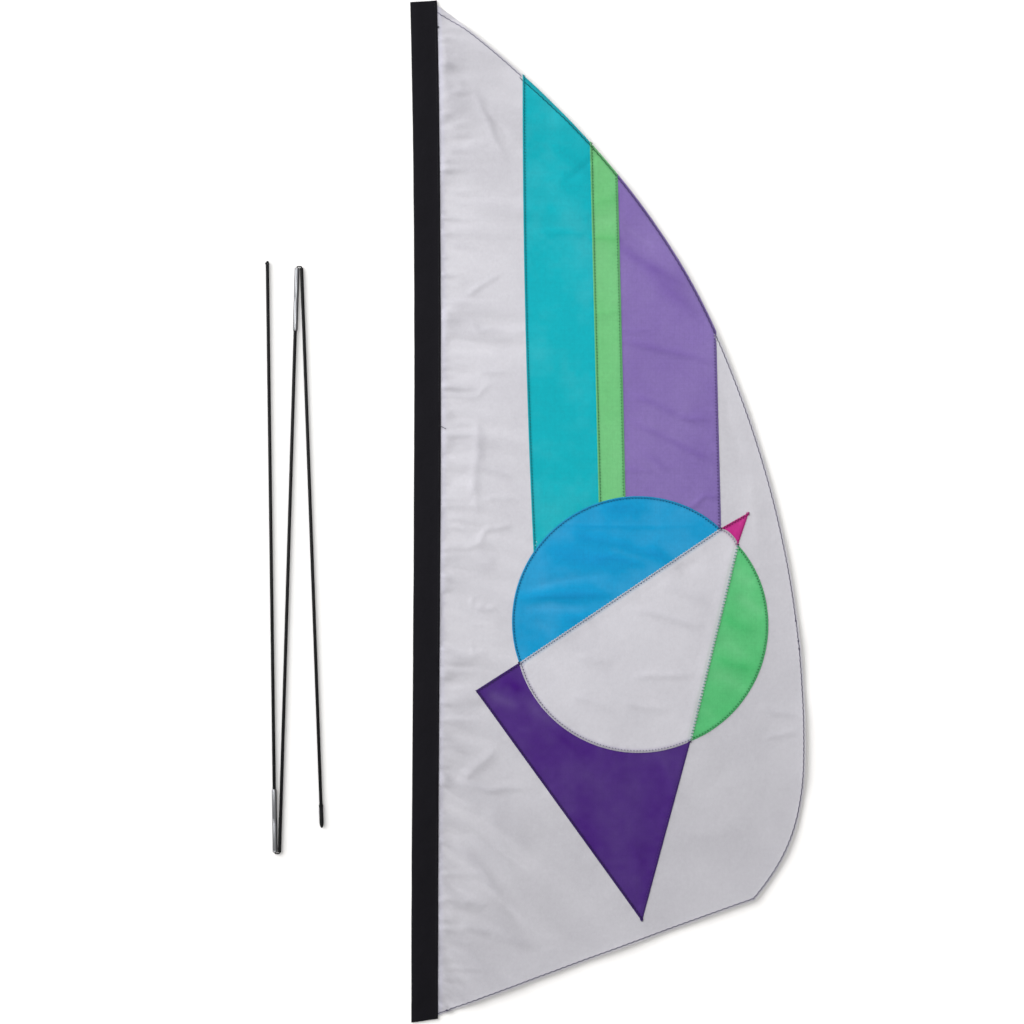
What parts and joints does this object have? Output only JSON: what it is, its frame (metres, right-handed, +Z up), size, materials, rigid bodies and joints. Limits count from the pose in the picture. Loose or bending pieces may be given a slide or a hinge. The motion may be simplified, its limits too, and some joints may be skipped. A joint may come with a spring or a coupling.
{
  "type": "feather flag with folding pole",
  "caption": "Feather-shaped fabric flag with a black pole sleeve and a sewn geometric design, laid flat beside its folding shock-corded pole.",
  "frame": {"origin": "on the ground, at the middle of the flag and folded pole as they lie", "axes": "+X from the sleeve out to the flying edge, +Y up the flag from foot to head, +Z up off the ground"},
  "size_m": [0.566, 1.0694, 0.0066],
  "materials": {
    "black_cloth": "plain woven polyester, matt",
    "white_cloth": "fine ripstop nylon, soft sheen",
    "teal_cloth": "fine ripstop nylon, soft sheen",
    "pale_green_cloth": "fine ripstop nylon, soft sheen",
    "lavender_cloth": "fine ripstop nylon, soft sheen",
    "blue_cloth": "fine ripstop nylon, soft sheen",
    "green_cloth": "fine ripstop nylon, soft sheen",
    "magenta_cloth": "fine ripstop nylon, soft sheen",
    "purple_cloth": "fine ripstop nylon, soft sheen",
    "thread": "spun polyester thread",
    "fibreglass": "smooth black fibreglass",
    "ferrule_metal": "bright drawn metal",
    "cap_rubber": "dipped black vinyl",
    "elastic_cord": "braided elastic cord"
  },
  "bodies": {
    "flag": {"pole_sleeve": "black_cloth", "white_ground": "white_cloth", "teal_stripe": "teal_cloth", "green_stripe": "pale_green_cloth", "lavender_stripe": "lavender_cloth", "blue_segment": "blue_cloth", "green_segment": "green_cloth", "white_centre": "white_cloth", "magenta_tip": "magenta_cloth", "purple_point": "purple_cloth", "edge_hem_stitches": "thread", "foot_hem_stitches": "thread", "sleeve_stitches": "thread", "white_teal_stitches": "thread", "teal_green_stitches": "thread", "green_lavender_stitches": "thread", "lavender_white_stitches": "thread", "disc_stitches": "thread", "wedge_stitches": "thread"},
    "upper_section": {"upper_rod": "fibreglass", "upper_rod_cap": "cap_rubber", "upper_cord": "elastic_cord", "upper_cord_knot": "elastic_cord"},
    "upper_cord_fold": {"upper_cord_bend": "elastic_cord"},
    "middle_section": {"middle_rod": "fibreglass", "middle_ferrule": "ferrule_metal", "middle_cord": "elastic_cord"},
    "lower_cord_fold": {"lower_cord_bend": "elastic_cord"},
    "lower_section": {"lower_rod": "fibreglass", "lower_ferrule": "ferrule_metal", "lower_cord": "elastic_cord", "lower_cord_knot": "elastic_cord"}
  },
  "joints": [
    {"name": "pole_moves_clear", "type": "slide", "parent": "flag", "child": "upper_section", "axis": [-1, 0, 0], "range_m": [0, 0.3]},
    {"name": "upper_fold", "type": "hinge", "parent": "upper_section", "child": "upper_cord_fold", "pos_m": [-0.2476, 0.25548, 0.0025], "axis": [0, 0, -1], "range_deg": [-3.8, 176.2], "deforming": ["upper_cord_bend"]},
    {"name": "upper_ferrule_seat", "type": "slide", "parent": "upper_cord_fold", "child": "middle_section", "axis": [0.0302, 0.9995, 0], "range_m": [0, 0.033], "deforming": ["middle_cord"]},
    {"name": "lower_fold", "type": "hinge", "parent": "middle_section", "child": "lower_cord_fold", "pos_m": [-0.2707, -0.3569, 0.0025], "axis": [0, 0, 1], "range_deg": [-2.48, 177.52], "deforming": ["lower_cord_bend"]},
    {"name": "lower_ferrule_seat", "type": "slide", "parent": "lower_cord_fold", "child": "lower_section", "axis": [0.0131, -0.9999, 0], "range_m": [0, 0.033]}
  ]
}
